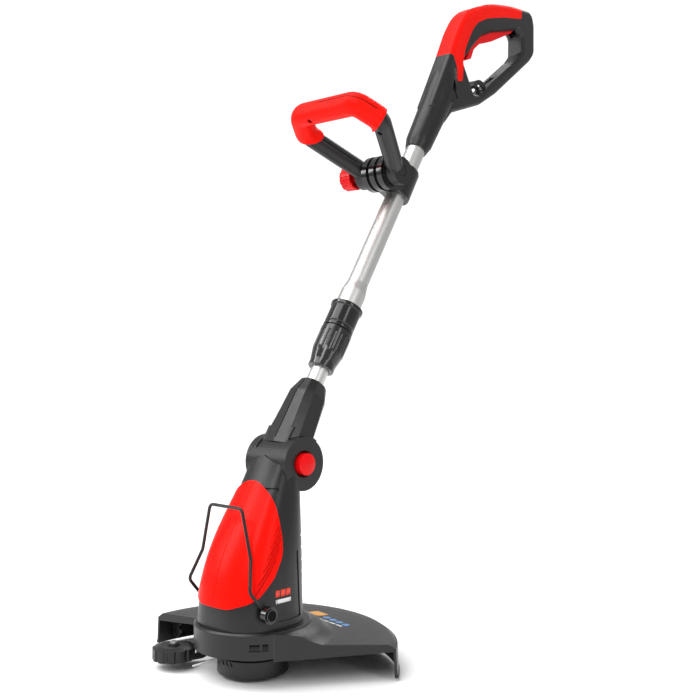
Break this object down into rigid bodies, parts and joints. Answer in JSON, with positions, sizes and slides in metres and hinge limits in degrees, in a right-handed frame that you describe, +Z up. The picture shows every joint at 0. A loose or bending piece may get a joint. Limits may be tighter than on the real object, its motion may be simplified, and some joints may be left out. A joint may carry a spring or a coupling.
{
  "type": "string trimmer",
  "caption": "Electric string trimmer with a telescopic tube, loop handle, rear trigger handle, tilting motor head, guard, wire plant guard, edging wheel and line spool.",
  "frame": {"origin": "centre of the tap button's flat face, at the bottom of the spool", "axes": "+Z up along the spool's axis, -Y the tool's front, away from the user, +X the side with the tilt button"},
  "size_m": [0.296, 0.6118, 0.8502],
  "materials": {
    "aluminium": "satin anodised tube",
    "black_steel": "black painted steel wire",
    "brass": "turned brass",
    "cable": "black cable sheath",
    "copper": "copper segments",
    "dark_plastic": "fine-grained moulded dark grey plastic",
    "dark_red_plastic": "glossy darker red plastic",
    "gloss_black": "glossy black plastic",
    "laminated_steel": "stamped laminations and windings",
    "nylon": "translucent nylon",
    "red_plastic": "satin bright red plastic",
    "red_soft": "soft-touch red overmould",
    "steel": "zinc-plated steel"
  },
  "bodies": {
    "upper_shaft": {"upper_tube": "aluminium", "lock_collar": "gloss_black", "handle_bracket": "gloss_black", "clamp_bolt": "black_steel", "rear_handle_left": "dark_plastic", "rear_handle_right": "dark_plastic", "rear_handle_grip": "red_soft", "rear_handle_screws": "steel", "power_switch": "dark_plastic", "trigger_pin": "steel", "trigger_spring": "steel", "mains_inlet": "dark_plastic", "handle_cable": "cable"},
    "trigger": {"trigger": "dark_red_plastic"},
    "assist_handle": {"assist_handle_upper": "dark_plastic", "assist_handle_lower": "dark_plastic", "assist_grip": "red_soft", "assist_handle_screws": "steel"},
    "clamp_knob": {"clamp_knob": "dark_red_plastic"},
    "lock_sleeve": {"lock_sleeve": "dark_plastic"},
    "turning_collet": {"collet": "dark_plastic"},
    "lower_shaft": {"lower_tube": "aluminium", "guide_bush": "dark_plastic", "neck_left": "dark_plastic", "neck_right": "dark_plastic", "neck_screws": "steel", "shaft_cable": "cable"},
    "head": {"motor_housing_left": "dark_plastic", "motor_housing_right": "dark_plastic", "front_cover": "red_plastic", "base_ring": "dark_plastic", "housing_screws": "steel", "motor_stator": "laminated_steel", "brush_plate": "dark_plastic", "upper_bearing": "steel", "lower_bearing": "steel", "guard_shield": "dark_plastic", "guard_screws": "steel", "line_cutter": "black_steel", "wheel_bracket": "dark_plastic", "wheel_screw": "steel", "tilt_pin": "steel", "button_spring": "steel"},
    "tilt_button": {"tilt_button": "red_plastic"},
    "wire_guard": {"wire_guard": "black_steel", "wire_guard_knob": "gloss_black"},
    "rotor": {"rotor_shaft": "steel", "armature": "laminated_steel", "commutator": "copper", "cooling_fan": "dark_plastic", "spool_housing": "dark_plastic", "line_spool": "dark_plastic", "line_eyelets": "brass", "cutting_line": "nylon", "tap_spring": "steel"},
    "tap_button": {"tap_button": "dark_plastic"},
    "edging_wheel": {"edging_wheel": "dark_plastic"}
  },
  "joints": [
    {"name": "trigger_pull", "type": "hinge", "parent": "upper_shaft", "child": "trigger", "pos_m": [0, 0.49309, 0.819], "axis": [1, 0, 0], "range_deg": [-3.5, 0], "stiffness_Nm_per_rad": 1, "springref_deg": 8.59},
    {"name": "assist_handle_tilt", "type": "hinge", "parent": "upper_shaft", "child": "assist_handle", "pos_m": [0, 0.21513, 0.57232], "axis": [1, 0, 0], "range_deg": [-50, 60]},
    {"name": "clamp_knob_turn", "type": "hinge", "parent": "upper_shaft", "child": "clamp_knob", "pos_m": [0, 0.21513, 0.57232], "axis": [1, 0, 0], "continuous": true},
    {"name": "lock_sleeve_turn", "type": "hinge", "parent": "upper_shaft", "child": "lock_sleeve", "pos_m": [0, 0.11949, 0.35321], "axis": [0, 0.5299, 0.848], "range_deg": [0, 90]},
    {"name": "edging_turn", "type": "hinge", "parent": "upper_shaft", "child": "turning_collet", "pos_m": [0, 0.11949, 0.35321], "axis": [0, 0.5299, 0.848], "range_deg": [0, 180]},
    {"name": "telescope", "type": "slide", "parent": "turning_collet", "child": "lower_shaft", "axis": [0, -0.5299, -0.848], "range_m": [0, 0.2]},
    {"name": "head_tilt", "type": "hinge", "parent": "lower_shaft", "child": "head", "pos_m": [0, 0.047, 0.226], "axis": [1, 0, 0], "range_deg": [0, 45]},
    {"name": "tilt_button_press", "type": "slide", "parent": "head", "child": "tilt_button", "axis": [-1, 0, 0], "range_m": [0, 0.004], "stiffness_N_per_m": 800, "springref_m": -0.004},
    {"name": "wire_guard_swing", "type": "hinge", "parent": "head", "child": "wire_guard", "pos_m": [0, -0.029, 0.078], "axis": [1, 0, 0], "range_deg": [0, 95]},
    {"name": "spool_spin", "type": "hinge", "parent": "head", "child": "rotor", "pos_m": [0, 0, 0], "axis": [0, 0, 1], "continuous": true},
    {"name": "tap_press", "type": "slide", "parent": "rotor", "child": "tap_button", "axis": [0, 0, 1], "range_m": [0, 0.003], "stiffness_N_per_m": 1500, "springref_m": -0.004},
    {"name": "edging_wheel_spin", "type": "hinge", "parent": "head", "child": "edging_wheel", "pos_m": [-0.079, -0.047, 0.015], "axis": [0, 0, 1], "continuous": true}
  ]
}
